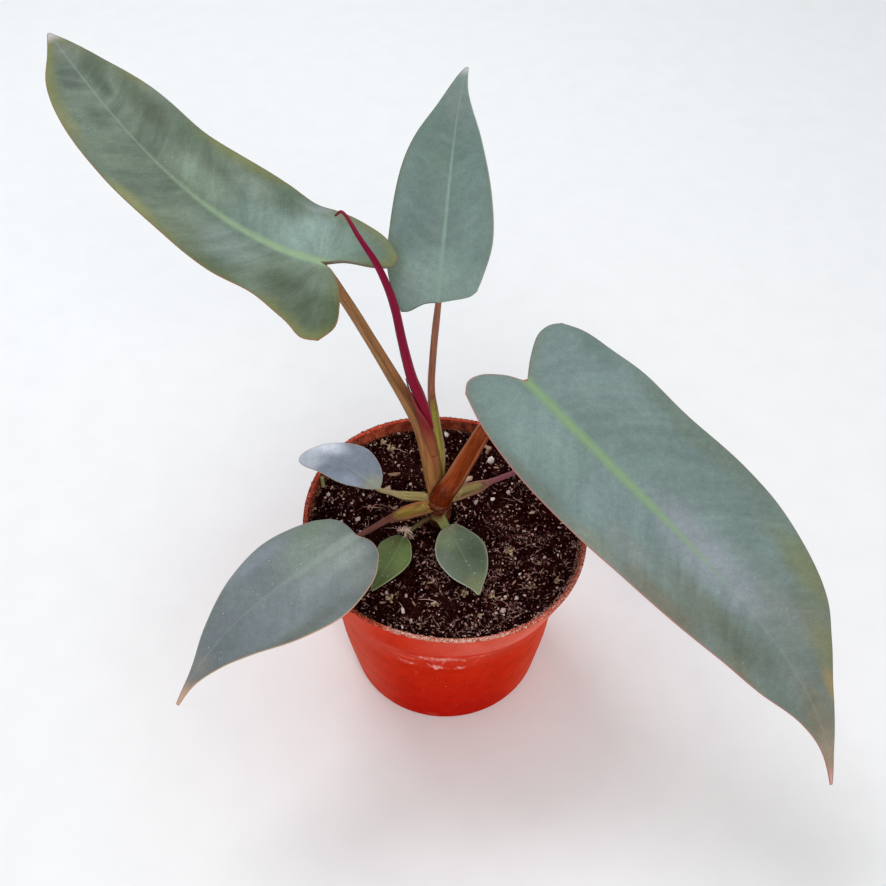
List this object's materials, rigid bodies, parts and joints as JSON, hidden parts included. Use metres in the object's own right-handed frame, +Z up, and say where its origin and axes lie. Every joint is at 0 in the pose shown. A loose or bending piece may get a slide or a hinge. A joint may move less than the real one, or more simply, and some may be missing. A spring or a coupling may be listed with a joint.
{
  "type": "potted philodendron atabapoense",
  "caption": "Young potted aroid house plant: long grey-green leaves with lobed bases on red-brown stalks, a rolled magenta new leaf, and a red plastic nursery pot filled with soil.",
  "frame": {"origin": "middle of the pot's flat underside, on the surface that it stands on", "axes": "+Z up along the pot's axis, -Y the front that the picture shows, +X to the right in it"},
  "size_m": [0.2675, 0.2146, 0.2065],
  "materials": {
    "pot": "thin red-orange nursery plastic, slightly glossy body and a dusty pink rim band",
    "soil": "moist dark potting mix with bark, brown fibres and white perlite",
    "stem": "dark red-brown stem with ringed leaf scars",
    "blade_grey_green": "waxy matte grey-green leaf with a yellow-green midrib",
    "blade_deep_green": "waxy matte green leaf, olive towards the margin",
    "blade_blue_grey": "waxy matte blue-grey leaf with a tan tip",
    "blade_bright_green": "waxy bright green young leaf",
    "petiole_red_brown": "smooth red-brown leaf stalk with darker grooves",
    "petiole_olive": "smooth olive-brown leaf stalk with lengthwise streaks",
    "petiole_mauve": "smooth mauve-brown leaf stalk",
    "rolled_leaf": "glossy dark magenta rolled young leaf"
  },
  "bodies": {
    "root": {"pot": "pot", "soil": "soil", "stem": "stem", "right_leaf_blade": "blade_grey_green", "upper_left_leaf_blade": "blade_deep_green", "upper_leaf_blade": "blade_grey_green", "lower_left_leaf_blade": "blade_blue_grey", "left_leaf_blade": "blade_blue_grey", "front_leaf_blade": "blade_grey_green", "small_leaf_blade": "blade_bright_green", "hidden_leaf_blade": "blade_grey_green", "right_leaf_petiole": "petiole_red_brown", "upper_left_leaf_petiole": "petiole_olive", "upper_leaf_petiole": "petiole_mauve", "lower_left_leaf_petiole": "petiole_olive", "left_leaf_petiole": "petiole_olive", "front_leaf_petiole": "petiole_olive", "small_leaf_petiole": "petiole_olive", "hidden_leaf_petiole": "petiole_mauve", "rolled_leaf": "rolled_leaf"}
  },
  "joints": []
}
